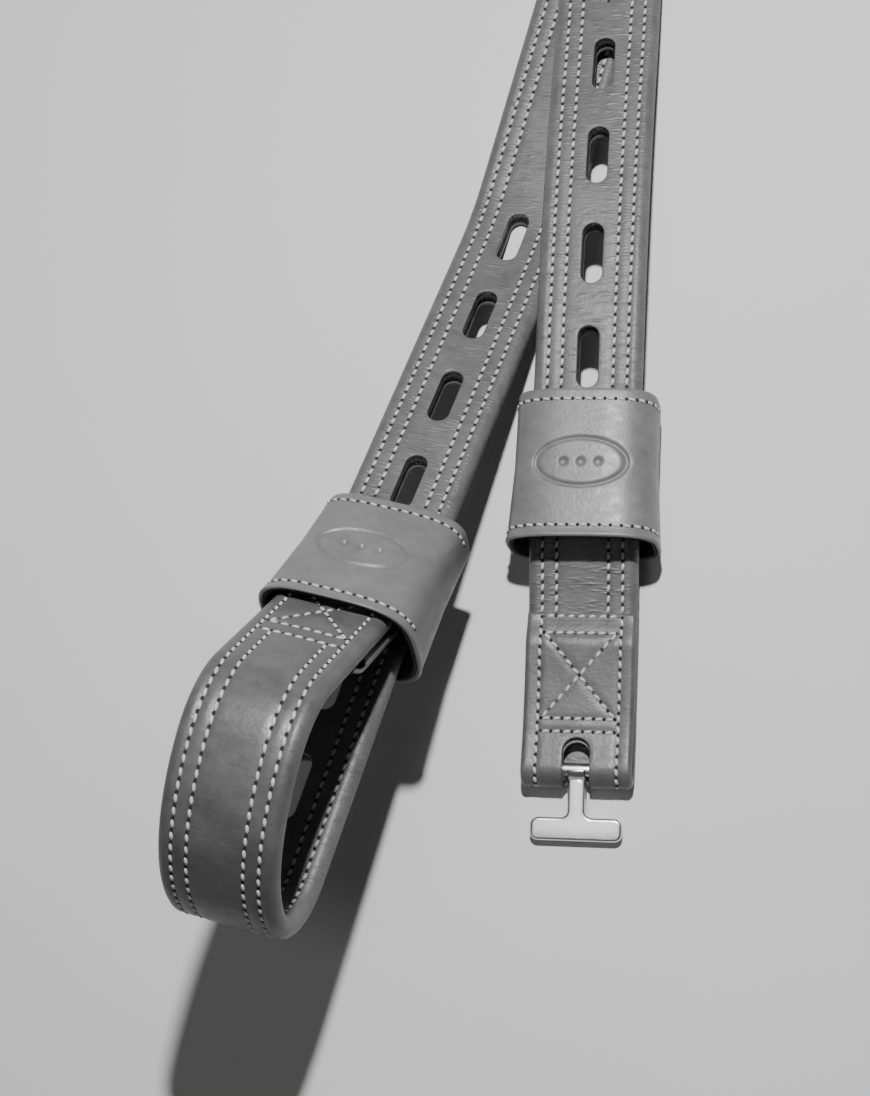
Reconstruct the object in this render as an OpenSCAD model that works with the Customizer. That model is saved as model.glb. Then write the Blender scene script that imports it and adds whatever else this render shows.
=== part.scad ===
// A pair of T-hook stirrup leathers. Each leather is one layered strap with a row of slots, a sewn
// top loop for the stirrup bar, a T-hook in the folded lower end, and a loose sleeve, the keeper.
// The left leather is closed: its hook goes through one of its own slots and hangs the stirrup loop.
// The right leather is open and crosses over the left one.
// The pair lies on a flat surface, z = 0. The straps cross over the origin, and +Y runs along the
// right leather towards its top loop.

/* [Strap] */
// Width of each leather
strap_w = 28; // [24:0.5:30]
// Thickness of the face leather and of the back leather
hide_t = 1.4; // [1.2:0.1:1.5]
// Thickness of the webbing between the two leathers
core_t = 2.8; // [2.6:0.1:3]
// Distance from the middle of the strap to its outer stitch rows
outer_row = 10.2; // [9.5:0.1:10.6]
// Distance from the middle of the strap to its inner stitch rows
inner_row = 6.6; // [5.5:0.1:7.5]

/* [Slots] */
// Distance from one slot to the next
slot_pitch = 28; // [26:0.5:30]
// Width of a slot
slot_w = 5.5; // [5:0.1:6]
// Length of a slot over its round ends
slot_l = 16.5; // [14:0.5:18]
// Number of slots in the right leather
right_slots = 11; // [4:1:12]
// Number of slots in the left leather
left_slots = 7; // [7:1:12]
// Distance from the folded end to the first slot of the right leather
right_first_slot = 110; // [105:1:120]
// Distance from the folded end to the first slot of the left leather
left_first_slot = 167.2; // [167:0.1:167.4]

/* [Hook] */
// Diameter of the hook's base bar, held in the folded end
bar_d = 3.4; // [3:0.1:3.6]
// Distance from the base bar to the inner edge of the crossbar
hook_reach = 11.9; // [11.8:0.1:12]
// Length of the crossbar
cross_l = 23.2; // [18:0.2:23.4]
// Width of the crossbar
cross_w = 5.8; // [5:0.1:6.5]
// Width of the stem
stem_w = 4.6; // [4:0.1:4.8]
// Radius of the boss that joins the stem to the top of the base bar
boss_r = 2.9; // [2:0.1:3.2]
// Thickness of the hook
hook_t = 3; // [2.5:0.1:3.2]

/* [Folded end] */
// Length of the turned-back flap, from the fold
flap_l = 45; // [42:0.5:48]
// Width of the slot that lets the stem out of the fold
fold_slot_w = 6.8; // [6:0.1:8]
// Distance from the fold to the round end of that slot
fold_slot_l = 12; // [11:0.5:13]

/* [Top loop] */
// Length of the sewn overlap of the top loop
overlap_l = 42; // [30:1:60]
// Mid-line radius of the top loop's turn
turn_r = 9; // [8:0.5:12]

/* [Keeper] */
// Length of a keeper along the strap
keeper_l = 39; // [36:0.5:40]
// Width of a keeper at the end away from the hook
keeper_w = 36; // [35:0.5:38]
// Extra width of a keeper at its flared end
keeper_flare = 2.6; // [1:0.2:3]
// Thickness of a keeper's outer leather
keeper_t = 1.3; // [1:0.1:1.4]
// Thickness of a keeper's lining
lining_t = 0.7; // [0.5:0.1:0.8]

/* [Lay] */
// Angle between the two leathers, seen from above
cross_angle = 12.65; // [12:0.05:13.5]
// Distance from the crossing to the far end of the right leather
far_end = 560; // [540:1:700]

/* [Hidden] */
$fn = 48;

half_t = core_t / 2 + hide_t;      // from the mid-line to either surface of the strap
thread_w = 0.9;                    // width of a row of stitches
thread_t = 0.25;                   // thickness of a row of stitches
thread_lift = 0.02;                // between a row of stitches and the leather
lay_gap = 0.1;                     // between two sewn lays of the same leather
flap_top = half_t + lay_gap + 2 * hide_t;  // height of the flap's surface over the mid-line
play = 0.05;                       // running clearance round the base bar
seat_r = bar_d / 2 + play;         // inside of the fold, round the bar
mid_r = seat_r + hide_t;           // between the two leathers of the fold
fold_r = mid_r + hide_t;           // outside of the fold
fold_o = fold_r - half_t;          // height of the bar's axis over the strap's mid-line
settle = 8;                        // run over which the flap settles from the fold to the strap
core_end = 17;                     // distance from the bar's axis to the full end of the webbing
core_tip = 8;                      // distance from the bar's axis to the webbing's skived tip
cross_rows = [43.2, 38.6, 16.8, 13.5];  // cross rows of the folded end, as distances from the fold

leather_grey = "#4a4a4c";
back_grey = "#58585a";
webbing_grey = "#2a2a2c";
thread_grey = "#c9c9c6";
steel = "#d8d8da";

// --- A strap's mid-line lies in a vertical plane: a start pose [x, z, heading], then pieces ---
// --- [length, turn], each a straight or an arc                                            ---

function straight(l) = [l, 0];
function bend(r, turn) = [r * abs(turn) * PI / 180, turn];
// Two equal and opposite arcs that change height by h over a level run; way is the first turn's sign
function step_by(h, run, way) =
    let (a = 2 * atan(h / run), r = run / (2 * sin(a))) [bend(r, way * a), bend(r, -way * a)];

function moved(p, l, turn) = turn == 0
    ? [p[0] + l * cos(p[2]), p[1] + l * sin(p[2]), p[2]]
    : let (r = l / (turn * PI / 180), h = p[2] + turn)
      [p[0] + r * (sin(h) - sin(p[2])), p[1] - r * (cos(h) - cos(p[2])), h];
function walk(line, s, p, i) = i == len(line) - 1 || s <= line[i][0]
    ? moved(p, s, line[i][1] * s / line[i][0])
    : walk(line, s - line[i][0], moved(p, line[i][0], line[i][1]), i + 1);
// Pose at a distance s from the start; past the end the last straight runs on
function pose_at(line, s) = walk(line, s, line[0], 1);
function run_of(pieces) = len(pieces) == 0 ? 0 : [for (p = pieces) 1] * [for (p = pieces) p[0]];
function length_of(line) = run_of([for (i = [1 : len(line) - 1]) line[i]]);
// Distances at which a mid-line is sampled: each piece's start, and every 5 degrees or 9 mm of an arc
function stations(line, i = 1, done = 0) = i == len(line) ? [] :
    let (n = line[i][1] == 0 ? 1 : max(ceil(abs(line[i][1]) / 5), ceil(line[i][0] / 9)))
    concat([for (k = [0 : n - 1]) done + line[i][0] * k / n], stations(line, i + 1, done + line[i][0]));
function between(line, a, b) =
    concat([a], [for (s = stations(line)) if (s > a + 0.2 && s < b - 0.2) s], [b]);
function reversed(v) = [for (i = [len(v) - 1 : -1 : 0]) v[i]];

// The top loop: sewn overlap, climb, short top, half turn; then the strap runs back the other way
loop_climb = 2 * turn_r - 2 * half_t - lay_gap;
loop_run = 39;
loop_top = 8;
loop_pieces = concat([straight(overlap_l)], step_by(loop_climb, loop_run, 1),
    [straight(loop_top), bend(turn_r, -180)]);
loop_back = overlap_l + loop_run + loop_top;
loop_s = run_of(loop_pieces);
sewn_from = loop_s + loop_back + 1;  // where the rows on the face come out from under the overlap
top_part = sewn_from + 3;            // the left strap's leathers are drawn in three lengths: up to here,
end_part = 149;                      // the run between, and this last length with the stirrup loop
// A leather's mid-line: the top loop, a level run on the surface, and the rest
function leather(turn_x, level, rest) = concat(
    [[turn_x - loop_back, 3 * half_t + lay_gap, 0]], loop_pieces, [straight(level)], rest);

// Right leather: over the left strap, up through its keeper, down to its hook
cross_gap = 0.6;                   // air between the two straps where they cross
over_left = 2 * half_t + cross_gap;
crest = 9.3;                       // extra height of the right strap over the rising left one
keeper_drop = 1.1;                 // how far it comes down again before its keeper
right_lift_x = 182;                // where the right strap leaves the surface
right_rest = concat(step_by(over_left, 45, -1), [straight(142)], step_by(crest, 110, -1),
    [straight(12)], step_by(keeper_drop, 23, 1), step_by(over_left + crest - keeper_drop, 90, 1),
    [straight(6.6)]);
right_turn_x = far_end - turn_r - half_t;
right_level = right_turn_x - right_lift_x;
right_line = leather(right_turn_x, right_level, right_rest);

// Left leather: up a slope, round the stirrup loop, and back down onto its own slot
slope = 20.5;
left_lift_x = -90.6;              // where the left strap leaves the surface
left_rest = [bend(60, -slope), straight(93.7), bend(150, 8.5), straight(68.1),
    bend(15, -90.1), bend(33, -46.6), bend(38, -30.0), bend(20, -55.5), straight(43.4),
    bend(15, 10.0), straight(7)];
left_level = right_level + run_of(right_rest) - run_of(left_rest);
left_line = leather(left_level + left_lift_x, left_level, left_rest);

right_hook_angle = -9;             // the hook's tilt out of the fold, towards the surface
left_hook_angle = 44.6;              // the same, turned down through the strap's slot

// --- Building along a mid-line ---

// Point [x, z] at a distance s along the line and a height o over it, on the face side
function put(line, s, o) = let (p = pose_at(line, s))
    [p[0] + o * sin(p[2]), p[1] - o * cos(p[2])];
function edge(line, a, b, o) = [for (s = between(line, a, b)) put(line, s, o)];
// Half circle round the base bar, from the strap's side to the flap's side
function wrap(line, r, from = -90) = [for (t = [from : 7.5 : 90])
    put(line, length_of(line) + r * cos(t), fold_o + r * sin(t))];
function flap_from(line) = length_of(line) + fold_r - flap_l;

module across(points, w = strap_w, y = 0) {
    translate([0, y + w / 2, 0]) rotate([90, 0, 0]) linear_extrude(w) polygon(points);
}
// A layer between two heights over the line
module layer(line, a, b, low, high, w = strap_w, y = 0) {
    across(concat(edge(line, a, b, low), reversed(edge(line, a, b, high))), w, y);
}
// Stands its children on the line: X along it, Z out of the face leather
module stand(line, s) {
    p = pose_at(line, s);
    translate([p[0], 0, p[1]]) rotate([0, 180 - p[2], 0]) rotate([0, 0, 180]) children();
}
module slots(line, first, count) {
    for (k = [0 : count - 1])
        stand(line, length_of(line) + fold_r - first - k * slot_pitch)
            translate([0, 0, -2 * half_t]) linear_extrude(4 * half_t) {
                square([slot_l - slot_w, slot_w], center = true);
                for (x = [-1, 1]) translate([x * (slot_l - slot_w) / 2, 0]) circle(d = slot_w);
            }
}
// The opening in the fold that the stem swings in, from the flap round to just below the bar
module stem_opening(line) {
    r = fold_slot_w / 2;
    stand(line, length_of(line)) translate([0, 0, fold_o]) {
        translate([0, -r, -0.9 * hook_t]) cube([2 * fold_r, fold_slot_w, 3 * fold_r]);
        translate([fold_r - fold_slot_l + r, 0, 0]) {
            cylinder(r = r, h = 2 * fold_r);
            translate([0, -r, 0]) cube([fold_slot_l, fold_slot_w, 2 * fold_r]);
        }
    }
}

// --- The strap's three layers. The two leathers run on round the base bar and back as the flap ---

// A length of the face leather, or of the back leather, between two distances along the line
module face_run(line, a, b, first, count) {
    color(leather_grey) difference() {
        layer(line, a, b, core_t / 2, half_t);
        slots(line, first, count);
    }
}
module back_run(line, a, b, first, count) {
    color(back_grey) difference() {
        layer(line, a, b, -half_t, -core_t / 2);
        slots(line, first, count);
    }
}
module strap_face(line, first, count, from = 0) {
    end = length_of(line);
    flap = half_t + lay_gap;
    color(leather_grey) difference() {
        across(concat(
            edge(line, from, end - core_end, core_t / 2),
            [put(line, end - core_tip, -core_t / 2)],
            wrap(line, mid_r),
            reversed(edge(line, flap_from(line), end - settle, flap + hide_t)),
            edge(line, flap_from(line), end - settle, flap),
            reversed(wrap(line, seat_r)),
            [put(line, end - core_tip, hide_t - core_t / 2)],
            reversed(edge(line, from, end - core_end, half_t))));
        slots(line, first, count);
        stem_opening(line);
    }
}
module strap_core(line, first, count) {
    end = length_of(line);
    color(webbing_grey) difference() {
        across(concat(
            edge(line, 0, end - core_tip, -core_t / 2),
            reversed(edge(line, 0, end - core_end, core_t / 2))));
        slots(line, first, count);
    }
}
module strap_back(line, first, count, from = 0) {
    end = length_of(line);
    flap = flap_top - hide_t;
    color(back_grey) difference() {
        across(concat(
            edge(line, from, end, -half_t),
            wrap(line, fold_r),
            reversed(edge(line, flap_from(line), end - settle, flap_top)),
            edge(line, flap_from(line), end - settle, flap),
            reversed(wrap(line, mid_r)),
            reversed(edge(line, from, end, -core_t / 2))));
        slots(line, first, count);
        stem_opening(line);
    }
}

// --- Stitching, as flat bands of thread on the leather ---

// Two rows on the face, two on the outside of the top loop from loop_from on, and two on the back
// between the distances back_from and back_to before the line's end
module rows(line, at, loop_from, back_from = 0, back_to = 0) {
    end = length_of(line);
    low = half_t + thread_lift;
    color(thread_grey) for (y = [-at, at]) {
        layer(line, sewn_from, flap_from(line) - 1, low, low + thread_t, thread_w, y);
        layer(line, loop_from, loop_s - 6, -low - thread_t, -low, thread_w, y);
        if (back_from > 0)
            layer(line, end - back_from, end - back_to, -low - thread_t, -low, thread_w, y);
    }
}
// The outer rows run on over the flap and round the fold
module flap_rows(line) {
    top = flap_top + thread_lift;
    round = fold_r + thread_lift;
    color(thread_grey) for (y = [-outer_row, outer_row])
        across(concat(
            edge(line, flap_from(line) + 1, length_of(line) - settle, top),
            reversed(wrap(line, round, -45)),
            wrap(line, round + thread_t, -45),
            reversed(edge(line, flap_from(line) + 1, length_of(line) - settle, top + thread_t))),
            thread_w, y);
}
// A bar of thread from one point to another, as a cutter
module thread_line(a, b, depth) {
    d = b - a;
    translate([a[0], a[1], -depth / 2]) rotate([0, 0, atan2(d[1], d[0])])
        translate([0, -thread_w / 2, 0]) cube([norm(d), thread_w, depth]);
}
// Cross rows at distances from the line's end, with a cross between two of them, cut from a skin
module box_stitch(line, from_end, crossed, low, high) {
    end = length_of(line);
    reach = outer_row - thread_w;
    middle = (max(from_end) + min(from_end)) / 2;
    color(thread_grey) intersection() {
        layer(line, end - max(from_end) - 1, end - min(from_end) + 1, low, high);
        stand(line, end - middle) {
            for (d = from_end)
                thread_line([middle - d, -reach], [middle - d, reach], 12 * half_t);
            for (side = [-1, 1])
                thread_line([middle - crossed[0], -side * reach], [middle - crossed[1], side * reach],
                    12 * half_t);
        }
    }
}
module end_stitch(line, low, high) {
    rows_at = [for (d = cross_rows) d - fold_r];
    box_stitch(line, rows_at, [rows_at[1], rows_at[2]], low, high);
}
module loop_stitch(line) {
    end = length_of(line);
    box_stitch(line, [end - 4, end - overlap_l + 4], [end - 4, end - overlap_l + 4],
        -half_t - thread_lift - thread_t, -half_t - thread_lift);
}

// --- T-hook: a base bar across the strap, a flat stem, and a crossbar with rounded ends ---

module hook(line, angle) {
    corner = 2;
    blend = 1.6;
    color(steel) stand(line, length_of(line)) translate([0, 0, fold_o]) rotate([0, -angle, 0]) {
        rotate([90, 0, 0]) {
            cylinder(d = bar_d, h = strap_w - 4, center = true);
            linear_extrude(stem_w, center = true) intersection() {
                circle(r = boss_r);
                square(boss_r + 1);
            }
        }
        translate([0, 0, -hook_t / 2]) linear_extrude(hook_t) {
            translate([0, -stem_w / 2]) square([hook_reach + 1, stem_w]);
            translate([hook_reach, 0]) {
                translate([0, corner - cross_l / 2]) square([cross_w, cross_l - 2 * corner]);
                translate([corner, -cross_l / 2]) square([cross_w - 2 * corner, cross_l]);
                for (x = [corner, cross_w - corner], y = [-1, 1])
                    translate([x, y * (cross_l / 2 - corner)]) circle(r = corner);
                for (side = [-1, 1]) difference() {
                    translate([-blend, side * stem_w / 2 - (side < 0 ? blend : 0)]) square(blend);
                    translate([-blend, side * (stem_w / 2 + blend)]) circle(r = blend);
                }
            }
        }
    }
}

// --- Keeper: a sleeve through three sections, each [x, bottom, top, width] of its outer surface ---

module section(s, grow) {
    h = s[2] - s[1] + 2 * grow;
    w = s[3] + 2 * grow;
    r = 8 + grow;
    translate([s[0], 0, (s[1] + s[2]) / 2]) rotate([0, 90, 0])
        linear_extrude(0.02, center = true) {
            square([h - 2 * r, w], center = true);
            square([h, w - 2 * r], center = true);
            for (x = [-1, 1], y = [-1, 1])
                translate([x * (h / 2 - r), y * (w / 2 - r)]) circle(r = r, $fn = 32);
        }
}
module solid_sleeve(sections, grow) {
    hull() for (i = [0 : 2])
        translate([i - 1, 0, 0]) section(sections[i], grow);
}
module sleeve(sections, outside, inside) {
    intersection() {
        difference() {
            solid_sleeve(sections, outside);
            solid_sleeve(sections, inside);
        }
        cube([keeper_l, 3 * keeper_w, 3 * keeper_w], center = true);
    }
}
module keeper_leather(sections) color(back_grey) sleeve(sections, 0, -keeper_t);
module keeper_inside(sections) color(leather_grey) sleeve(sections, -keeper_t, -keeper_t - lining_t);
module keeper_rows(sections) {
    inset = 3;
    color(thread_grey) intersection() {
        sleeve(sections, thread_lift + thread_t, thread_lift);
        for (x = [-1, 1]) translate([x * (keeper_l / 2 - inset), 0, 4 + sections[1][1]])
            translate([-thread_w / 2, -keeper_w, 0]) cube([thread_w, 2 * keeper_w, 2 * keeper_w]);
    }
}

// The right keeper stands on the surface; X points towards the hook
right_keeper_y = -172;
keeper_h = 24;
right_sections = [[-keeper_l / 2, 0, keeper_h, keeper_w], [0, 0, keeper_h, keeper_w + 0.2],
    [keeper_l / 2, 0, keeper_h, keeper_w + keeper_flare]];
// The left keeper follows the slope and bulges over the folded end and the hook's crossbar
left_keeper_s = 218.2;
left_sections = [[-keeper_l / 2, -18.5, 6.4, keeper_w], [-1, -15.8, 15.4, keeper_w + 0.2],
    [keeper_l / 2, -12.6, 26.4, keeper_w + keeper_flare]];

module right() rotate([0, 0, 90]) children();
module left() rotate([0, 0, 90 - cross_angle]) children();
module right_sleeve() right() translate([right_keeper_y, 0, 0]) rotate([0, 0, 180]) children();
module left_sleeve() left() stand(left_line, length_of(left_line) - left_keeper_s) children();

left_end_from = length_of(left_line) - end_part;

module left_strap_face() left()
    face_run(left_line, top_part, left_end_from, left_first_slot, left_slots);
module left_top_face() left() face_run(left_line, 0, top_part, left_first_slot, left_slots);
module left_loop_face() left() strap_face(left_line, left_first_slot, left_slots, left_end_from);
module left_strap_core() left() strap_core(left_line, left_first_slot, left_slots);
module left_strap_back() left()
    back_run(left_line, top_part, left_end_from, left_first_slot, left_slots);
module left_top_back() left() back_run(left_line, 0, top_part, left_first_slot, left_slots);
module left_loop_back() left() strap_back(left_line, left_first_slot, left_slots, left_end_from);
module left_edge_rows() left() rows(left_line, outer_row, 1.5, 195, 1);
module left_inner_rows() left()
    rows(left_line, inner_row, overlap_l + 1, 195, cross_rows[0] - fold_r + 1);
module left_end_stitch() left()
    end_stitch(left_line, -half_t - thread_lift - thread_t, -half_t - thread_lift);
module left_loop_stitch() left() loop_stitch(left_line);
module left_hook() left() hook(left_line, left_hook_angle);
module left_keeper() left_sleeve() keeper_leather(left_sections);
module left_keeper_lining() left_sleeve() keeper_inside(left_sections);
module left_keeper_stitch() left_sleeve() keeper_rows(left_sections);

module right_strap_face() right() strap_face(right_line, right_first_slot, right_slots);
module right_strap_core() right() strap_core(right_line, right_first_slot, right_slots);
module right_strap_back() right() strap_back(right_line, right_first_slot, right_slots);
module right_edge_rows() right() {
    rows(right_line, outer_row, 1.5);
    flap_rows(right_line);
}
module right_inner_rows() right() rows(right_line, inner_row, overlap_l + 1);
module right_end_stitch() right()
    end_stitch(right_line, flap_top + thread_lift, flap_top + thread_lift + thread_t);
module right_loop_stitch() right() loop_stitch(right_line);
module right_hook() right() hook(right_line, right_hook_angle);
module right_keeper() right_sleeve() keeper_leather(right_sections);
module right_keeper_lining() right_sleeve() keeper_inside(right_sections);
module right_keeper_stitch() right_sleeve() keeper_rows(right_sections);

left_strap_face();
left_top_face();
left_loop_face();
left_strap_core();
left_strap_back();
left_top_back();
left_loop_back();
left_edge_rows();
left_inner_rows();
left_end_stitch();
left_loop_stitch();
left_hook();
left_keeper();
left_keeper_lining();
left_keeper_stitch();
right_strap_face();
right_strap_core();
right_strap_back();
right_edge_rows();
right_inner_rows();
right_end_stitch();
right_loop_stitch();
right_hook();
right_keeper();
right_keeper_lining();
right_keeper_stitch();
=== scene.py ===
"""A pair of T-hook stirrup leathers, one closed into a stirrup loop and one open, on a pale floor.

Each leather is rebuilt round its own mid-line as two leather skins with rolled edges over a webbing
core, with real stitches, pierced slots and a folded end. Lengths are in millimetres until a mesh is
made, and angles are in degrees.
"""
import math

import bpy
import numpy as np
from mathutils import Matrix, Vector


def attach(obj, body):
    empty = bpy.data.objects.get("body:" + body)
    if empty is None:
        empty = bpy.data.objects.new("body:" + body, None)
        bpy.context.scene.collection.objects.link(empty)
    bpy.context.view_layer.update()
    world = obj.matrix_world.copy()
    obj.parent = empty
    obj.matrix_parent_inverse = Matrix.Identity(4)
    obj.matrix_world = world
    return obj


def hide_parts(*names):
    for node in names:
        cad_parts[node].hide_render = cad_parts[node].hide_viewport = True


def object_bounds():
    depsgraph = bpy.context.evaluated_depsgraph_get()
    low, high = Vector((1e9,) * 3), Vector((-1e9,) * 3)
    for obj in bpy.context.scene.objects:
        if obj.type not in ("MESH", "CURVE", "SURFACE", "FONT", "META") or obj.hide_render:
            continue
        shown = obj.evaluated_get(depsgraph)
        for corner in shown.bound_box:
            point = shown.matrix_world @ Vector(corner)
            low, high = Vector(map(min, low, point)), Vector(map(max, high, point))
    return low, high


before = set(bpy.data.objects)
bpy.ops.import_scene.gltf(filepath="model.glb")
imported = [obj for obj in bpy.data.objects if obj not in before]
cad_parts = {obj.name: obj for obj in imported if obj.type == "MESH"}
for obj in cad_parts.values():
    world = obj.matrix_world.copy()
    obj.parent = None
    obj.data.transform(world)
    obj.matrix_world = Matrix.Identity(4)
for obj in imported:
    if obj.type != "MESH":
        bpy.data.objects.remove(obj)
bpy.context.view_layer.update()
MM = 0.001

# --- Camera: at the photograph's viewing angle, close and from low over the hook ends ---

CAMERA_AT = (75.8, -333.1, 546.5)
CAMERA_TURN = (15.241, 11.125, 3.588)  # about x, y and z, from looking straight down
LENS = 72.25

# --- Sizes, as in the design ---

STRAP_W = 28
HIDE = 1.4
CORE = 2.8
HALF = CORE / 2 + HIDE
OUTER_ROW = 10.2
INNER_ROW = 6.6
SLOT_PITCH = 28
SLOT_W = 5.5
SLOT_L = 16.5
FLAP_L = 45
LAY_GAP = 0.1
BAR_D = 3.4
SEAT_R = BAR_D / 2 + 0.05
MID_R = SEAT_R + HIDE
FOLD_R = MID_R + HIDE
FOLD_O = FOLD_R - HALF
CORE_END = 17  # the webbing is full up to here, and skived off from here to its tip
CORE_TIP = 8
SETTLE = 8
CROSS_ROWS = (43.2, 38.6, 16.8, 13.5)
OVERLAP = 42
TURN_R = 9
CROSS_ANGLE = 12.65
FAR_END = 560
HOOK_REACH = 11.9
CROSS_L = 23.2
CROSS_W = 5.8
STEM_W = 4.6
BOSS_R = 2.9
HOOK_T = 3
STEM_SLOT_W = 6.8
STEM_SLOT_L = 12
KEEPER_L = 39
KEEPER_W = 36
KEEPER_FLARE = 2.6
KEEPER_T = 1.3
LINING_T = 0.7
STITCH_PITCH = 2.75
FINE_LENGTH = 430  # the stretch before each hook that gets the finest mesh


# --- Mid-lines: [length, turn] pieces from a start pose (x, z, heading) ---

def straight(length):
    return (length, 0)


def bend(radius, turn):
    return (radius * abs(turn) * math.pi / 180, turn)


def step_by(height, run, way):
    """Two opposite arcs that change height over a level run."""
    angle = 2 * math.degrees(math.atan(height / run))
    radius = run / (2 * math.sin(math.radians(angle)))
    return [bend(radius, way * angle), bend(radius, -way * angle)]


def moved(pose, length, turn):
    x, z, heading = pose
    if turn == 0:
        a = math.radians(heading)
        return (x + length * math.cos(a), z + length * math.sin(a), heading)
    radius = length / math.radians(turn)
    a, b = math.radians(heading), math.radians(heading + turn)
    return (x + radius * (math.sin(b) - math.sin(a)), z - radius * (math.cos(b) - math.cos(a)),
            heading + turn)


class Line:
    """A leather's mid-line. pose(s) is the place and heading at a distance s from the start."""

    def __init__(self, start, pieces):
        self.start, self.pieces = start, pieces
        self.length = sum(p[0] for p in pieces)

    def pose(self, s):
        pose = self.start
        for i, (length, turn) in enumerate(self.pieces):
            if s <= length or i == len(self.pieces) - 1:
                return moved(pose, s, turn * s / length)
            pose, s = moved(pose, length, turn), s - length

    def put(self, s, o):
        x, z, heading = self.pose(s)
        a = math.radians(heading)
        return (x + o * math.sin(a), z - o * math.cos(a))


LOOP_CLIMB = 2 * TURN_R - 2 * HALF - LAY_GAP
LOOP_RUN = 39
LOOP_TOP = 8
LOOP_BACK = OVERLAP + LOOP_RUN + LOOP_TOP
LOOP_PIECES = [straight(OVERLAP)] + step_by(LOOP_CLIMB, LOOP_RUN, 1) + [
    straight(LOOP_TOP), bend(TURN_R, -180)]
LOOP_S = sum(p[0] for p in LOOP_PIECES)
SEWN_FROM = LOOP_S + LOOP_BACK + 1


def leather(turn_x, level, rest):
    start = (turn_x - LOOP_BACK, 3 * HALF + LAY_GAP, 0)
    return Line(start, LOOP_PIECES + [straight(level)] + rest)


OVER_LEFT = 2 * HALF + 0.6
CREST = 9.3
KEEPER_DROP = 1.1
RIGHT_REST = step_by(OVER_LEFT, 45, -1) + [straight(142)] + step_by(CREST, 110, -1) + [
    straight(12)] + step_by(KEEPER_DROP, 23, 1) + step_by(
        OVER_LEFT + CREST - KEEPER_DROP, 90, 1) + [straight(6.6)]
RIGHT_TURN_X = FAR_END - TURN_R - HALF
RIGHT_LEVEL = RIGHT_TURN_X - 182
RIGHT_LINE = leather(RIGHT_TURN_X, RIGHT_LEVEL, RIGHT_REST)

LEFT_LIFT_X = -90.6
LEFT_REST = [bend(60, -20.5), straight(93.7), bend(150, 8.5), straight(68.1), bend(15, -90.1),
             bend(33, -46.6), bend(38, -30.0), bend(20, -55.5), straight(43.4), bend(15, 10.0),
             straight(7)]
LEFT_LEVEL = RIGHT_LEVEL + sum(p[0] for p in RIGHT_REST) - sum(p[0] for p in LEFT_REST)
LEFT_LINE = leather(LEFT_LEVEL + LEFT_LIFT_X, LEFT_LEVEL, LEFT_REST)
RIGHT_FIRST_SLOT = 110
RIGHT_SLOTS = 11
LEFT_FIRST_SLOT = 167.2
LEFT_SLOTS = 7
LEFT_BACK_ROWS = 195  # the left back's rows show inside the stirrup loop
LEFT_KEEPER_S = 218.2
LEFT_HOOK_ANGLE = 44.6
RIGHT_HOOK_ANGLE = -9
RIGHT_KEEPER_Y = -172
KEEPER_H = 24

# A keeper's sections, each (place along it, bottom, top, width). The left one's first top is 1 mm
# lower than in the design, nearer the photograph.
KEEPER_WIDTHS = (KEEPER_W, KEEPER_W + 0.2, KEEPER_W + KEEPER_FLARE)
LEFT_SECTIONS = ((-KEEPER_L / 2, -18.5, 5.4, KEEPER_WIDTHS[0]), (-1, -15.8, 15.4, KEEPER_WIDTHS[1]),
                 (KEEPER_L / 2, -12.6, 26.4, KEEPER_WIDTHS[2]))
RIGHT_SECTIONS = tuple((place, 0, KEEPER_H, width)
                       for place, width in zip((-KEEPER_L / 2, 0, KEEPER_L / 2), KEEPER_WIDTHS))


# --- Pieces: from a leather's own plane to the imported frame, and into the scene ---

def turn_z(degrees):
    return Matrix.Rotation(math.radians(degrees), 4, "Z")


PLACE = {"right": turn_z(90), "left": turn_z(90 - CROSS_ANGLE)}


def placed(points, side):
    """Rows of (x, lateral, z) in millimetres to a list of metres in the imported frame."""
    turn = np.array(PLACE[side].to_3x3())
    return (np.asarray(points) @ turn.T * MM).tolist()


def new_piece(name, verts, faces, body, materials, replaces=(), face_materials=None):
    """A finished mesh piece in metres: its materials, its body and what it stands for."""
    mesh = bpy.data.meshes.new(name)
    mesh.from_pydata(verts, [], faces)
    for material in materials:
        mesh.materials.append(material)
    if face_materials is not None:
        mesh.polygons.foreach_set("material_index", face_materials)
    mesh.polygons.foreach_set("use_smooth", [True] * len(mesh.polygons))
    mesh.update()
    obj = bpy.data.objects.new(name, mesh)
    bpy.context.scene.collection.objects.link(obj)
    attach(obj, body)
    if replaces:
        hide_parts(*replaces)
    return obj


def write_uv(mesh, u, v):
    """One surface coordinate per vertex, in metres, for grain that follows the leather."""
    layer = mesh.uv_layers.new(name="grain")
    corner = np.zeros(len(mesh.loops), np.int32)
    mesh.loops.foreach_get("vertex_index", corner)
    uv = np.stack([np.asarray(u)[corner], np.asarray(v)[corner]], 1) * MM
    layer.data.foreach_set("uv", uv.astype(np.float32).ravel())


def ring_faces(rings, count, flip=False, wrap=False):
    """Quads between rings of count points in a row; wrap joins the last ring to the first."""
    faces = []
    for r in range(rings if wrap else rings - 1):
        a, b = r * count, (r + 1) % rings * count
        for k in range(count):
            n = (k + 1) % count
            faces.append((a + k, b + k, b + n, a + n) if flip else (a + k, a + n, b + n, b + k))
    return faces


def shifted(faces, by):
    return [tuple(v + by for v in face) for face in faces]


# --- Curves: the outer surface of a skin in the leather's own plane ---

CURVE_STEP = 0.5



def unit(a):
    return a / np.maximum(np.linalg.norm(a, axis=1, keepdims=True), 1e-9)


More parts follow.
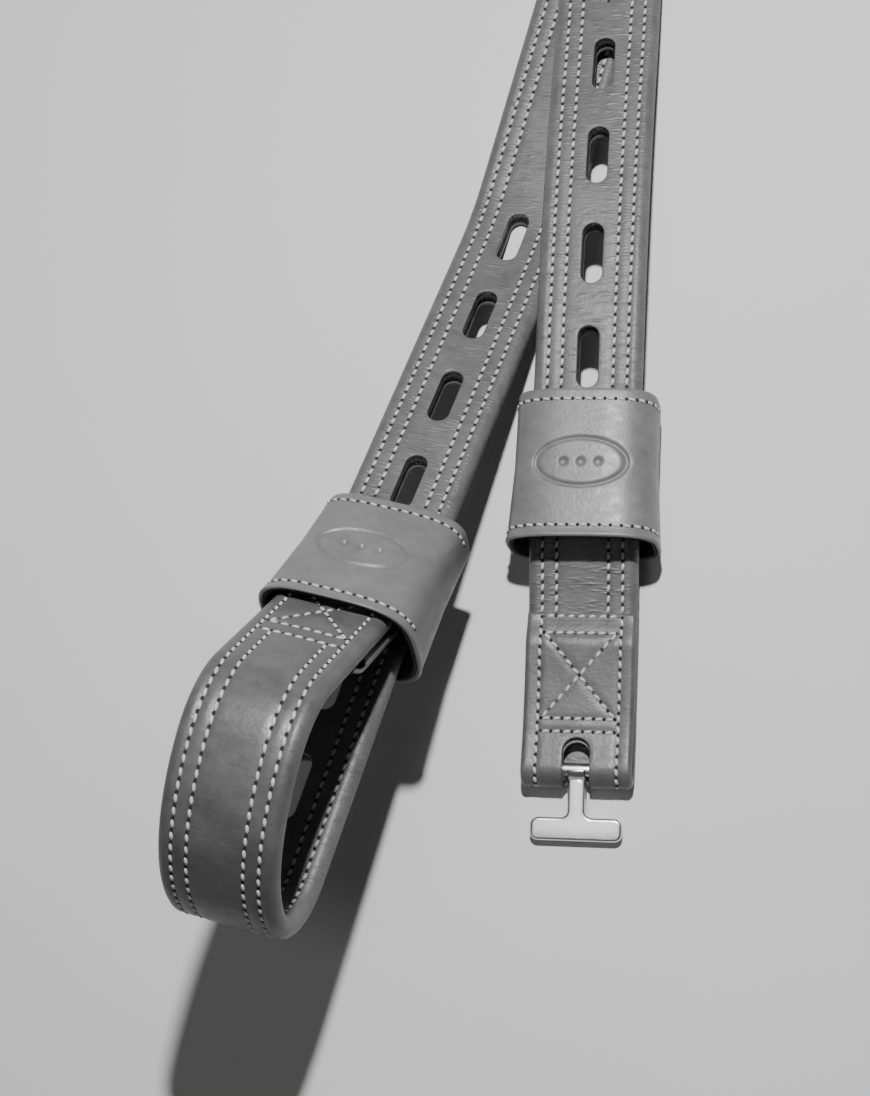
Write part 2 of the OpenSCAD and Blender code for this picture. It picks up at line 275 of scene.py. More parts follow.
class Curve:
    """Points and outward normals of a surface's edge-on line against a distance u along it."""

    def __init__(self, u, points, normals):
        self.u, self.points, self.normals = np.array(u), np.array(points), np.array(normals)

    def at(self, u):
        place = np.stack([np.interp(u, self.u, self.points[:, k]) for k in (0, 1)], 1)
        normal = np.stack([np.interp(u, self.u, self.normals[:, k]) for k in (0, 1)], 1)
        return place, unit(normal)


def side_curve(line, side_sign, until):
    """The main run's surface: the face for +1, the back for -1."""
    distances = np.append(np.arange(0, until, CURVE_STEP), until)
    points, normals = [], []
    for s in distances:
        a = math.radians(line.pose(s)[2])
        points.append(line.put(s, side_sign * HALF))
        normals.append((side_sign * math.sin(a), -side_sign * math.cos(a)))
    return list(distances), points, normals


def add_tail(u, points, normals, more):
    """Runs a curve on through more (point, normal) pairs, measuring u along them."""
    for point, normal in more:
        step = math.dist(points[-1], point)
        if step > 1e-6:
            u.append(u[-1] + step)
            points.append(point)
            normals.append(normal)


def fold_frame(line):
    """The base bar's axis, and the directions along and across the strap there."""
    x, z, heading = line.pose(line.length)
    a = math.radians(heading)
    along, out = (math.cos(a), math.sin(a)), (math.sin(a), -math.cos(a))
    return (x + FOLD_O * out[0], z + FOLD_O * out[1]), along, out


def round_bar(line, radius, inward):
    """Half a turn round the base bar, from the strap's side to the flap's side."""
    centre, along, out = fold_frame(line)
    pairs = []
    for degrees in np.arange(-90, 90.1, 5):
        c, s = math.cos(math.radians(degrees)), math.sin(math.radians(degrees))
        d = (c * along[0] + s * out[0], c * along[1] + s * out[1])
        normal = (-d[0], -d[1]) if inward else d
        pairs.append(((centre[0] + radius * d[0], centre[1] + radius * d[1]), normal))
    return pairs


def flap_run(line, height_at, sign, until):
    """The flap's surface, from over the bar back along the strap."""
    pairs = []
    for back in np.arange(CURVE_STEP, until + 0.01, CURVE_STEP):
        a = math.radians(line.pose(line.length - back)[2])
        normal = (sign * math.sin(a), -sign * math.cos(a))
        pairs.append((line.put(line.length - back, height_at(back)), normal))
    return pairs


FLAP_TOP = HALF + LAY_GAP + 2 * HIDE
FLAP_RUN = FLAP_L - FOLD_R
SKIVE = 9            # the length over which the flap's end is pared down
SKIVE_DEPTH = 0.9    # what that takes off the back leather
FLAP_DROP = HIDE + 1.55


def smooth(t):
    t = np.clip(t, 0, 1)
    return t * t * (3 - 2 * t)


def flap_top_at(back):
    settled = max(0.0, 1 - back / SETTLE)
    height = FLAP_TOP + (FOLD_O + FOLD_R - FLAP_TOP) * settled
    return height - FLAP_DROP * float(smooth((back - (FLAP_RUN - SKIVE)) / SKIVE))


def flap_under_at(back):
    settled = max(0.0, 1 - back / SETTLE)
    return HALF + LAY_GAP + (FOLD_O + SEAT_R - HALF - LAY_GAP) * settled


def back_curve(line):
    u, points, normals = side_curve(line, -1, line.length)
    add_tail(u, points, normals, round_bar(line, FOLD_R, False))
    add_tail(u, points, normals, flap_run(line, flap_top_at, 1, FLAP_RUN))
    return Curve(u, points, normals)


def face_curve(line):
    u, points, normals = side_curve(line, 1, line.length - CORE_END)
    dip = []
    for back in np.arange(CORE_END - CURVE_STEP, -0.01, -CURVE_STEP):
        t = float(smooth((CORE_END - back) / (CORE_END - CORE_TIP)))
        a = math.radians(line.pose(line.length - back)[2])
        dip.append((line.put(line.length - back, HALF * (1 - t)), (math.sin(a), -math.cos(a))))
    add_tail(u, points, normals, dip)
    add_tail(u, points, normals, round_bar(line, SEAT_R, True))
    add_tail(u, points, normals, flap_run(line, flap_under_at, -1, FLAP_RUN - SKIVE))
    return Curve(u, points, normals)


# --- Skins: a grid over (u, lateral) with pierced slots, rolled edges and its own thickness ---

FLAT_COLUMNS = (0, 1.1, 2.2, 3.3, 4.4, 5.5, 6.1, 6.6, 7.1, 7.7, 8.4, 9.1, 9.7, 10.2, 10.7)
ROLL_ANGLES = (90, 78, 66, 54, 42, 30, 18, 6, -2)
SLOT_EDGE = 4      # columns from the middle to a slot's frame; a wide slot takes one more
SLOT_MARGIN = 1.6
# A slot's rings, each (share of the way from its frame, growth past its size, depth)
SLOT_RINGS = ((0.5, 0.3, 0), (1, 0.3, 0.02), (1, 0.08, 0.08), (1, 0, 0.28))
FINE_STEP = 0.8
COARSE_STEP = 2.2
SEAM_WIDTH = 0.65
SEAM_DEPTH = 0.28
SKIN_CROWN = 0.1
THINNEST = 0.02
NEVER = 1e6        # a distance past every leather's end


def columns():
    """Each column as (side, "flat", position) or (side, "roll", angle), from edge to edge."""
    half = [("flat", y) for y in FLAT_COLUMNS] + [("roll", math.radians(a)) for a in ROLL_ANGLES]
    left = [(-1,) + c for c in reversed(half[1:])]
    return left + [(1,) + c for c in half]


COLUMNS = columns()
MIDDLE = len(COLUMNS) // 2


def off_seam(u, y, seam):
    """Distance from surface points to a seam (u, lateral, u, lateral)."""
    u0, y0, u1, y1 = seam
    du, dy = u1 - u0, y1 - y0
    t = np.clip(((u - u0) * du + (y - y0) * dy) / (du * du + dy * dy), 0, 1)
    return np.hypot(u - u0 - t * du, y - y0 - t * dy)


class Skin:
    """A leather layer on a curve. Its seams are where thread pulls it in."""

    def __init__(self, curve, start, end, seams, thin_from, skive_from):
        self.curve, self.start, self.end, self.seams = curve, start, end, seams
        self.thin_from, self.skive_from = thin_from, skive_from

    def roll(self, u):
        return HALF - (HALF - HIDE) * smooth((u - self.thin_from) / (CORE_END - CORE_TIP))

    def thickness(self, u):
        return HIDE - SKIVE_DEPTH * smooth((u - self.skive_from) / SKIVE)

    def pull(self, u, y):
        """Depth under the plain curve: sunk along the seams, crowned between them."""
        sunk = np.zeros_like(u)
        for seam in self.seams:
            sunk = np.maximum(sunk, np.exp(-(off_seam(u, y, seam) / SEAM_WIDTH) ** 2))
        crown = np.cos(np.clip(y / INNER_ROW, -1, 1) * math.pi / 2) ** 2
        return SEAM_DEPTH * sunk - SKIN_CROWN * crown

    def place(self, u, y, depth):
        """(u, lateral, depth under the surface) to (x, lateral, z)."""
        point, normal = self.curve.at(u)
        spot = point - normal * depth[:, None]
        return np.stack([spot[:, 0], y, spot[:, 1]], 1)

    def on_top(self, u, y, lift):
        u, y = np.asarray(u, float), np.asarray(y, float)
        return self.place(u, y, self.pull(u, y) - lift)


def u_rows(start, end, fine_from, slots):
    """Row distances: every slot's frame edges are rows, and the rest is evenly spaced between."""
    marks = [start, end]
    if start < fine_from < end:
        marks.append(fine_from)
    for centre, length, _ in slots:
        marks += [centre - length / 2 - SLOT_MARGIN, centre + length / 2 + SLOT_MARGIN]
    marks = sorted(set(round(m, 4) for m in marks if start <= m <= end))
    rows = []
    for a, b in zip(marks, marks[1:]):
        step = FINE_STEP if a >= fine_from - 1 else COARSE_STEP
        n = max(1, round((b - a) / step))
        rows += list(a + (b - a) * np.arange(n) / n)
    return np.array(rows + [marks[-1]])


def skin_surface(skin, slots, fine_from):
    """The outer side as arrays u, y, depth, the inner side's y and depth, and the faces."""
    u_values = u_rows(skin.start, skin.end, fine_from, slots)
    n_rows, n_cols = len(u_values), len(COLUMNS)
    u = np.repeat(u_values, n_cols)
    roll = skin.roll(u)
    thick = skin.thickness(u)
    y, depth = np.zeros_like(u), np.zeros_like(u)
    y_in, depth_in = np.zeros_like(u), np.zeros_like(u)
    for j, (side, kind, value) in enumerate(COLUMNS):
        k = slice(j, None, n_cols)
        if kind == "flat":
            y[k] = y_in[k] = side * value
            depth_in[k] = thick[k]
        else:
            c, s, r = math.cos(value), math.sin(value), roll[k]
            inner = np.maximum(r - thick[k], THINNEST)
            y[k] = side * (STRAP_W / 2 - r + r * c)
            depth[k] = r * (1 - s)
            y_in[k] = side * (STRAP_W / 2 - r + inner * c)
            depth_in[k] = r - inner * s
    holes = []
    for centre, length, width in slots:
        edges = (centre - length / 2 - SLOT_MARGIN, centre + length / 2 + SLOT_MARGIN)
        i0, i1 = (int(np.argmin(abs(u_values - e))) for e in edges)
        reach = SLOT_EDGE if width < 6 else SLOT_EDGE + 1
        holes.append((i0, i1, MIDDLE - reach, MIDDLE + reach, centre, length, width))
    inside = {(i, j) for i0, i1, j0, j1, *_ in holes for i in range(i0, i1) for j in range(j0, j1)}
    faces = []
    for i in range(n_rows - 1):
        for j in range(n_cols - 1):
            if (i, j) not in inside:
                a = i * n_cols + j
                faces.append((a, a + 1, a + n_cols + 1, a + n_cols))
    u, y, depth = list(u), list(y), list(depth)
    y_in, depth_in = list(y_in), list(depth_in)
    for i0, i1, j0, j1, centre, length, width in holes:
        loop = [i0 * n_cols + j for j in range(j0, j1)]
        loop += [i * n_cols + j1 for i in range(i0, i1)]
        loop += [i1 * n_cols + j for j in range(j1, j0, -1)]
        loop += [i * n_cols + j0 for i in range(i1, i0, -1)]
        spine = (length - width) / 2
        previous = loop
        for share, grow, sink in SLOT_RINGS:
            ring = []
            for v in loop:
                pu, py = u[v] - centre, y[v]
                qu = min(max(pu, -spine), spine)
                size = math.hypot(pu - qu, py)
                r = width / 2 + grow
                eu, ey = qu + (pu - qu) / size * r, py / size * r
                ring.append(len(u))
                u.append(centre + pu + (eu - pu) * share)
                y.append(py + (ey - py) * share)
                depth.append(sink)
                y_in.append(y[-1])
                depth_in.append(float(skin.thickness(np.array([u[-1]]))[0]))
            for k in range(len(loop)):
                n = (k + 1) % len(loop)
                faces.append((previous[k], previous[n], ring[n], ring[k]))
            previous = ring
    return [np.array(a) for a in (u, y, depth, y_in, depth_in)], faces


def closed(faces, count):
    """Adds the inner side and the walls round every open edge of a surface of count vertices."""
    directed = {}
    for face in faces:
        for k in range(len(face)):
            directed[(face[k], face[(k + 1) % len(face)])] = True
    walls = [(b, a, a + count, b + count) for a, b in directed if (b, a) not in directed]
    inner = shifted([face[::-1] for face in faces], count)
    return faces + inner + walls


def skin_piece(name, side, skin, slots, fine_from, material, replaces):
    (u, y, depth, y_in, depth_in), faces = skin_surface(skin, slots, fine_from)
    outer = skin.place(u, y, depth + skin.pull(u, y) * (np.abs(y) < STRAP_W / 2 - 2))
    inner = skin.place(u, y_in, depth_in)
    verts = placed(np.concatenate([outer, inner]), side)
    piece = new_piece(name, verts, closed(faces, len(u)), f"{side}_leather", [material],
                      replaces)
    across = y + np.sign(y) * depth
    write_uv(piece.data, np.concatenate([u, u]), np.concatenate([across, across]))
    return piece


# --- Materials ---

def node_material(name):
    material = bpy.data.materials.new(name)
    material.use_nodes = True
    tree = material.node_tree
    return material, tree.nodes, tree.links, tree.nodes["Principled BSDF"]


def surface_coordinates(nodes, links, scale):
    """The leather's own coordinates, scaled: (along, across) in metres times scale."""
    uv = nodes.new("ShaderNodeUVMap")
    uv.uv_map = "grain"
    mapping = nodes.new("ShaderNodeMapping")
    mapping.inputs["Scale"].default_value = scale
    links.new(uv.outputs["UV"], mapping.inputs["Vector"])
    return mapping.outputs["Vector"]


def noise(nodes, links, vector, detail, roughness, kind="FBM", distortion=0.0):
    node = nodes.new("ShaderNodeTexNoise")
    node.noise_type = kind
    node.inputs["Scale"].default_value = 1
    node.inputs["Detail"].default_value = detail
    node.inputs["Roughness"].default_value = roughness
    node.inputs["Distortion"].default_value = distortion
    links.new(vector, node.inputs["Vector"])
    return node.outputs["Fac"]


def ramp(nodes, links, value, low, high, from_value, to_value):
    """Maps low..high to from_value..to_value."""
    node = nodes.new("ShaderNodeMapRange")
    node.inputs["From Min"].default_value = low
    node.inputs["From Max"].default_value = high
    node.inputs["To Min"].default_value = from_value
    node.inputs["To Max"].default_value = to_value
    links.new(value, node.inputs["Value"])
    return node.outputs["Result"]


def object_noise(nodes, links, scale, detail=2, roughness=0.5):
    """Noise in the piece's own coordinates, for materials that need no direction."""
    coordinates = nodes.new("ShaderNodeTexCoord")
    node = nodes.new("ShaderNodeTexNoise")
    node.inputs["Scale"].default_value = scale
    node.inputs["Detail"].default_value = detail
    node.inputs["Roughness"].default_value = roughness
    links.new(coordinates.outputs["Object"], node.inputs["Vector"])
    return node.outputs["Fac"]


def maths(nodes, links, operation, a, b):
    node = nodes.new("ShaderNodeMath")
    node.operation = operation
    for socket, value in zip(node.inputs, (a, b)):
        if isinstance(value, (int, float)):
            socket.default_value = value
        else:
            links.new(value, socket)
    return node.outputs["Value"]


def grey_mix(nodes, links, factor, dark, light):
    node = nodes.new("ShaderNodeMix")
    node.data_type = "RGBA"
    node.inputs["A"].default_value = (*dark, 1)
    node.inputs["B"].default_value = (*light, 1)
    links.new(factor, node.inputs["Factor"])
    return node.outputs["Result"]


def bump(nodes, links, height, strength, distance, under=None):
    node = nodes.new("ShaderNodeBump")
    node.inputs["Strength"].default_value = strength
    node.inputs["Distance"].default_value = distance
    links.new(height, node.inputs["Height"])
    if under is not None:
        links.new(under, node.inputs["Normal"])
    return node.outputs["Normal"]


def leather_material(name, dark, light, pebble, pebble_depth, crease_depth, roughness):
    """Dyed leather: pebbles of a size in mm, creases across the strap, uneven dye and gloss."""
    material, nodes, links, shader = node_material(name)
    cell = 1 / (pebble * MM)
    pebbles = nodes.new("ShaderNodeTexVoronoi")
    pebbles.feature = "SMOOTH_F1"
    pebbles.inputs["Scale"].default_value = 1
    pebbles.inputs["Smoothness"].default_value = 0.6
    grain_at = surface_coordinates(nodes, links, (cell, cell, cell))
    wobble = noise(nodes, links, grain_at, 2, 0.5)
    links.new(grain_at, pebbles.inputs["Vector"])
    creases = noise(nodes, links, surface_coordinates(nodes, links, (1100, 230, 1)), 4, 0.62,
                    "RIDGED_MULTIFRACTAL", 0.35)
    dye = noise(nodes, links, surface_coordinates(nodes, links, (120, 90, 1)), 5, 0.6)
    worn = noise(nodes, links, surface_coordinates(nodes, links, (420, 260, 1)), 3, 0.6)
    height = maths(nodes, links, "ADD",
                   maths(nodes, links, "MULTIPLY", pebbles.outputs["Distance"], 0.7),
                   maths(nodes, links, "MULTIPLY", wobble, 0.5))
    low = bump(nodes, links, creases, crease_depth, 0.0003)
    links.new(bump(nodes, links, height, pebble_depth, 0.00009, low), shader.inputs["Normal"])
    tone = maths(nodes, links, "ADD", maths(nodes, links, "MULTIPLY", dye, 0.75),
                 maths(nodes, links, "MULTIPLY", worn, 0.35))
    links.new(grey_mix(nodes, links, ramp(nodes, links, tone, 0.35, 0.75, 0, 1), dark, light),
              shader.inputs["Base Color"])
    links.new(ramp(nodes, links, worn, 0.3, 0.7, roughness - 0.06, roughness + 0.08),
              shader.inputs["Roughness"])
    shader.inputs["Specular IOR Level"].default_value = 0.5
    return material


def webbing_material():
    """Woven core, seen at the slots' walls."""
    material, nodes, links, shader = node_material("webbing")
    wave = nodes.new("ShaderNodeTexWave")
    wave.inputs["Scale"].default_value = 300
    wave.inputs["Distortion"].default_value = 1.5
    coordinates = nodes.new("ShaderNodeTexCoord")
    links.new(coordinates.outputs["Object"], wave.inputs["Vector"])
    weave = grey_mix(nodes, links, wave.outputs["Fac"], (0.006, 0.006, 0.006), (0.02, 0.02, 0.021))
    links.new(weave, shader.inputs["Base Color"])
    links.new(bump(nodes, links, wave.outputs["Fac"], 0.5, 0.0002), shader.inputs["Normal"])
    shader.inputs["Roughness"].default_value = 0.9
    return material


def thread_material():
    """Waxed grey thread with a fine ply."""
    material, nodes, links, shader = node_material("thread")
    ply = object_noise(nodes, links, 900, 3)
    links.new(grey_mix(nodes, links, ply, (0.30, 0.30, 0.30), (0.62, 0.62, 0.61)),
              shader.inputs["Base Color"])
    links.new(bump(nodes, links, ply, 0.5, 0.0002), shader.inputs["Normal"])
    shader.inputs["Roughness"].default_value = 0.55
    return material


def hole_shade_material():
    """Painted shade: a near-black colour for the flat discs that stand in for the shaded inside of
    needle holes.
    """
    material, nodes, links, shader = node_material("needle_hole_painted_shade")
    uneven = object_noise(nodes, links, 1500)
    links.new(grey_mix(nodes, links, uneven, (0.006, 0.006, 0.006), (0.02, 0.02, 0.02)),
              shader.inputs["Base Color"])
    shader.inputs["Roughness"].default_value = 0.95
    return material


def steel_material():
    """Polished steel with faint handling marks."""
    material, nodes, links, shader = node_material("steel")
    marks = object_noise(nodes, links, 420, 6, 0.7)
    links.new(grey_mix(nodes, links, marks, (0.72, 0.72, 0.73), (0.88, 0.88, 0.89)),
              shader.inputs["Base Color"])
    links.new(ramp(nodes, links, marks, 0.3, 0.7, 0.27, 0.33), shader.inputs["Roughness"])
    links.new(bump(nodes, links, marks, 0.05, 0.0001), shader.inputs["Normal"])
    shader.inputs["Metallic"].default_value = 1
    return material


# Dark and light tone, pebble size, depths of pebbles and creases, roughness
FACE_LEATHER = leather_material("leather_face", (0.075,) * 3, (0.125,) * 3, 0.75, 0.5, 0.9, 0.47)
BACK_LEATHER = leather_material("leather_back", (0.060,) * 3, (0.105,) * 3, 0.9, 0.5, 0.12, 0.43)
KEEPER_LEATHER = leather_material(
    "leather_keeper", (0.11,) * 3, (0.17,) * 3, 0.9, 0.45, 0.05, 0.42)
LINING = leather_material("leather_lining", (0.02,) * 3, (0.035,) * 3, 0.8, 0.6, 0.2, 0.8)
WEBBING = webbing_material()
THREAD = thread_material()
# Painted shade: the needle-hole discs get a near-black colour in place of the shade inside real
# holes.
PAINTED_HOLE_SHADE = hole_shade_material()
STEEL = steel_material()


# --- Stitches: slanted grains of thread, each between two needle holes ---

THREAD_LENGTH = 2.0
THREAD_WIDTH = 0.92
THREAD_RISE = 0.42
THREAD_SLANT = 9
THREAD_RINGS = (0.06, 0.24, 0.5, 0.76, 0.94)
THREAD_SIDES = 6
THREAD_SHARE = 0.74  # the most of a stitch's step that its thread fills
HOLE_R = 0.5
HOLE_SIDES = 8
HOLE_LIFT = 0.05


def stitch_spots(a, b):
    """Middles, direction and step of evenly spaced stitches from a to b in (u, lateral)."""
    a, b = np.array(a, float), np.array(b, float)
    count = max(1, round(np.linalg.norm(b - a) / STITCH_PITCH))
    middles = a + (b - a) * ((np.arange(count) + 0.5) / count)[:, None]
    return middles, (b - a) / np.linalg.norm(b - a), np.linalg.norm(b - a) / count


def stitch_shape():
    """One stitch as (along, across, up) shares, with its faces."""
    verts = [(-0.5, 0, -0.3)]
    for t in THREAD_RINGS:
        swell = math.sin(math.pi * t) ** 0.55
        for k in range(THREAD_SIDES):
            a = 2 * math.pi * k / THREAD_SIDES
            verts.append((t - 0.5, 0.5 * swell * math.cos(a), swell * (0.15 + 0.85 * math.sin(a))))
    verts.append((0.5, 0, -0.3))
    faces = [(0, 1 + (k + 1) % THREAD_SIDES, 1 + k) for k in range(THREAD_SIDES)]
    faces += shifted(ring_faces(len(THREAD_RINGS), THREAD_SIDES), 1)
    last, tip = 1 + (len(THREAD_RINGS) - 1) * THREAD_SIDES, len(verts) - 1
    faces += [(last + k, last + (k + 1) % THREAD_SIDES, tip) for k in range(THREAD_SIDES)]
    return np.array(verts), faces


def hole_shape():
    """A needle hole as a flat disc of (along, across), with its faces; its near-black colour is
    painted shade.
    """
    angles = np.linspace(0, 2 * math.pi, HOLE_SIDES, False)
    ring = [(HOLE_R * math.cos(a), HOLE_R * math.sin(a) * 0.9) for a in angles]
    return np.array([(0, 0)] + ring), [(0, 1 + k, 1 + (k + 1) % HOLE_SIDES)
                                       for k in range(HOLE_SIDES)]


def sewn(name, side, body, surface, seams, replaces):
    """All the stitches of some seams on a surface (u, lateral, lift) -> (x, lateral, z)."""
    grain, grain_faces = stitch_shape()
    disc, disc_faces = hole_shape()
    slant = math.radians(THREAD_SLANT)
    verts, faces, kinds = [], [], []
    total = 0
    for seam in seams:
        middles, way, step = stitch_spots(seam[:2], seam[2:])
        across = np.array([-way[1], way[0]])
        along_s = way * math.cos(slant) + across * math.sin(slant)
        across_s = -way * math.sin(slant) + across * math.cos(slant)
        length = min(THREAD_LENGTH, step * THREAD_SHARE)
        for middle in middles:
            flat = middle + np.outer(grain[:, 0] * length, along_s)
            flat = flat + np.outer(grain[:, 1] * THREAD_WIDTH, across_s)
            verts.append(surface(flat[:, 0], flat[:, 1], grain[:, 2] * THREAD_RISE))
            faces += shifted(grain_faces, total)
            kinds += [0] * len(grain_faces)
            total += len(grain)
        # Each needle hole is a flat disc painted near black as the shade inside the hole.
        ends = np.concatenate([middles - way * step / 2, [middles[-1] + way * step / 2]])
        for spot in ends:
            flat = spot + disc
            verts.append(surface(flat[:, 0], flat[:, 1], np.full(len(disc), HOLE_LIFT)))
            faces += shifted(disc_faces, total)
            kinds += [1] * len(disc_faces)
            total += len(disc)
    new_piece(name, placed(np.concatenate(verts), side), faces, body,
              [THREAD, PAINTED_HOLE_SHADE], replaces, kinds)


# --- The straps ---

CROSS_REACH = OUTER_ROW - 0.9
UNDER_BAR = math.radians(50)  # where the stem's slot begins in the half turn round the bar
CORE_SKIVE = 2.34             # what the webbing's tip loses of its thickness


def slot_list(line, first, count):
    return [(line.length + FOLD_R - first - k * SLOT_PITCH, SLOT_L, SLOT_W) for k in range(count)]


def row_pair(at, start, end):
    return [(start, -at, end, -at), (start, at, end, at)]


def box_seams(u_of, reach, distances, crossed):
    """Cross rows and an X between two of them; u_of turns a distance from the fold into u."""
    seams = [(u_of(d), -reach, u_of(d), reach) for d in distances]
    for sign in (-1, 1):
        seams.append((u_of(crossed[0]), -sign * reach, u_of(crossed[1]), sign * reach))
    return seams


def lengths(side, layer):
    """The CAD nodes of one leather: the left strap's are drawn in three lengths."""
    if side == "right":
        return (f"right_strap_{layer}",)
    return tuple(f"left_{part}_{layer}" for part in ("strap", "top", "loop"))


def stem_slot(start, end):
    return [((start + end) / 2, end - start, STEM_SLOT_W)]


def build_leather(side, line, first_slot, slot_count, back_rows):
    """Both skins, the core and the stitches; back_rows is how far the back's rows run on, or 0."""
    end = line.length
    body = f"{side}_leather"
    face_end = end - FLAP_RUN + 0.8
    fold_top = end + math.pi * FOLD_R
    back, face = back_curve(line), face_curve(line)

    face_outer = row_pair(OUTER_ROW, SEWN_FROM, face_end)
    face_inner = row_pair(INNER_ROW, SEWN_FROM, face_end)
    back_outer = row_pair(OUTER_ROW, 1.5, LOOP_S - 6)
    back_inner = row_pair(INNER_ROW, OVERLAP + 1, LOOP_S - 6)
    if back_rows:
        back_outer += row_pair(OUTER_ROW, end - back_rows, end - 1)
        back_inner += row_pair(INNER_ROW, end - back_rows, end + FOLD_R - CROSS_ROWS[0])
        end_seams = box_seams(lambda d: end + FOLD_R - d, CROSS_REACH, CROSS_ROWS, CROSS_ROWS[1:3])
    else:
        back_outer += row_pair(OUTER_ROW, end + FOLD_R * math.pi / 4, back.u[-1] - 1)
        end_seams = box_seams(lambda d: fold_top + d - FOLD_R, CROSS_REACH, CROSS_ROWS,
                              CROSS_ROWS[1:3])
    loop_seams = box_seams(lambda d: d, CROSS_REACH, (4, OVERLAP - 4), (4, OVERLAP - 4))

    slots = slot_list(line, first_slot, slot_count)
    bar_u = face.u[-1] - (FLAP_RUN - SKIVE) - math.pi * SEAT_R
    back_slot = stem_slot(end + FOLD_R * UNDER_BAR, fold_top + STEM_SLOT_L - FOLD_R)
    face_slot = stem_slot(bar_u + SEAT_R * UNDER_BAR,
                          bar_u + math.pi * SEAT_R + STEM_SLOT_L - FOLD_R)
    fine_from = end - FINE_LENGTH

    face_skin = Skin(face, 0, face.u[-1], face_outer + face_inner, end - CORE_END, NEVER)
    back_skin = Skin(back, 0, back.u[-1], back_outer + back_inner + end_seams + loop_seams,
                     end - CORE_END, back.u[-1] - SKIVE)
    skin_piece(f"{side}_face_leather", side, face_skin, slots + face_slot, fine_from,
               FACE_LEATHER, lengths(side, "face"))
    skin_piece(f"{side}_back_leather", side, back_skin, slots + back_slot, fine_from,
               BACK_LEATHER, lengths(side, "back"))
    core_piece(side, line, slots, fine_from)
    for name, skin, seams, node in (("edge", face_skin, face_outer, "edge_rows"),
                                    ("inner", face_skin, face_inner, "inner_rows"),
                                    ("back_edge", back_skin, back_outer, None),
                                    ("back_inner", back_skin, back_inner, None),
                                    ("box", back_skin, end_seams, "end_stitch"),
                                    ("loop", back_skin, loop_seams, "loop_stitch")):
        sewn(f"{side}_{name}_stitches", side, body, skin.on_top, seams,
             (f"{side}_{node}",) if node else ())


def core_piece(side, line, slots, fine_from):
    """The webbing, just inside the two skins, with its own slots a little short of the leather."""
    u, points, normals = side_curve(line, 1, line.length - CORE_TIP)
    lowered = [(p[0] - n[0] * HIDE, p[1] - n[1] * HIDE) for p, n in zip(points, normals)]
    skin = Skin(Curve(u, lowered, normals), 0, line.length - CORE_TIP, (), NEVER, NEVER)
    (u, y, depth, _, _), faces = skin_surface(skin, slots, fine_from)
    narrow = np.clip(y, HIDE - STRAP_W / 2, STRAP_W / 2 - HIDE)
    sink = np.minimum(depth, THINNEST)
    tip = smooth((u - (line.length - CORE_END)) / (CORE_END - CORE_TIP))
    outer = skin.place(u, narrow, sink + CORE_SKIVE * tip)
    inner = skin.place(u, narrow, np.full_like(u, CORE))
    verts = placed(np.concatenate([outer, inner]), side)
    new_piece(f"{side}_core_webbing", verts, closed(faces, len(u)), f"{side}_leather",
              [WEBBING], (f"{side}_strap_core",))


build_leather("right", RIGHT_LINE, RIGHT_FIRST_SLOT, RIGHT_SLOTS, 0)
build_leather("left", LEFT_LINE, LEFT_FIRST_SLOT, LEFT_SLOTS, LEFT_BACK_ROWS)


# --- Hooks: a rounded flat T on a round base bar ---

HOOK_ROUNDING = 0.8
BAR_SIDES = 24
# Each ring of the bar and of the boss: its place as a share of the length, and its size
BAR_RINGS = ((-0.5, 0.6), (-0.485, 0.9), (-0.46, 1), (0.46, 1), (0.485, 0.9), (0.5, 0.6))
BOSS_RINGS = ((-0.5, 0.88), (-0.46, 0.96), (-0.4, 1), (0.4, 1), (0.46, 0.96), (0.5, 0.88))


def arc_points(centre, radius, start, stop, outward=1, n=6):
    """(point, outward normal) pairs along an arc; outward is -1 for a fillet."""
    pairs = []
    for a in np.radians(np.linspace(start, stop, n)):
        c, s = math.cos(a), math.sin(a)
        pairs.append(((centre[0] + radius * c, centre[1] + radius * s), (outward * c, outward * s)))
    return pairs


def hook_outline():
    """Half the T's outline from the bar to the crossbar's far edge, then mirrored."""
    corner, fillet = 2, 1.6
    half = [((0, -STEM_W / 2), (0, -1))]
    half += [((x, -STEM_W / 2), (0, -1)) for x in np.linspace(2, HOOK_REACH - fillet - 0.5, 5)]
    half += arc_points((HOOK_REACH - fillet, -STEM_W / 2 - fillet), fillet, 90, 0, -1)
    half += [((HOOK_REACH, y), (-1, 0)) for y in np.linspace(-5, corner - CROSS_L / 2 + 0.5, 3)]
    half += arc_points((HOOK_REACH + corner, corner - CROSS_L / 2), corner, 180, 270)
    half += arc_points((HOOK_REACH + CROSS_W - corner, corner - CROSS_L / 2), corner, 270, 360)
    half += [((HOOK_REACH + CROSS_W, y), (1, 0)) for y in (-7, -4, -1.5)]
    other = [((x, -y), (nx, -ny)) for (x, y), (nx, ny) in reversed(half)]
    return half + other


def capped(rings, flip=False):
    """Rings of points joined in a row and closed at both ends, as vertices and faces."""
    count, verts = len(rings[0]), [point for ring in rings for point in ring]
    first, last = tuple(range(count)), tuple(range(len(verts) - count, len(verts)))
    caps = [first, last[::-1]] if flip else [first[::-1], last]
    return verts, ring_faces(len(rings), count, flip) + caps


def hook_plate():
    """The stem and crossbar: a stack of outlines, drawn in towards both faces."""
    outline = hook_outline()
    points = np.array([p for p, _ in outline])
    normals = np.array([n for _, n in outline])
    flat_half = HOOK_T / 2 - HOOK_ROUNDING
    rings = []
    for degrees in np.linspace(-90, 90, 13):
        a = math.radians(degrees)
        inset = HOOK_ROUNDING * (1 - math.cos(a))
        z = math.copysign(flat_half, degrees) + HOOK_ROUNDING * math.sin(a) if degrees else 0
        rings.append([(x, y, z) for x, y in points - normals * inset])
    return capped(rings)


def hook_bar():
    angles = np.linspace(0, 2 * math.pi, BAR_SIDES, False)
    return capped([[(BAR_D / 2 * swell * math.cos(a), share * (STRAP_W - 4),
                     BAR_D / 2 * swell * math.sin(a)) for a in angles]
                   for share, swell in BAR_RINGS], flip=True)


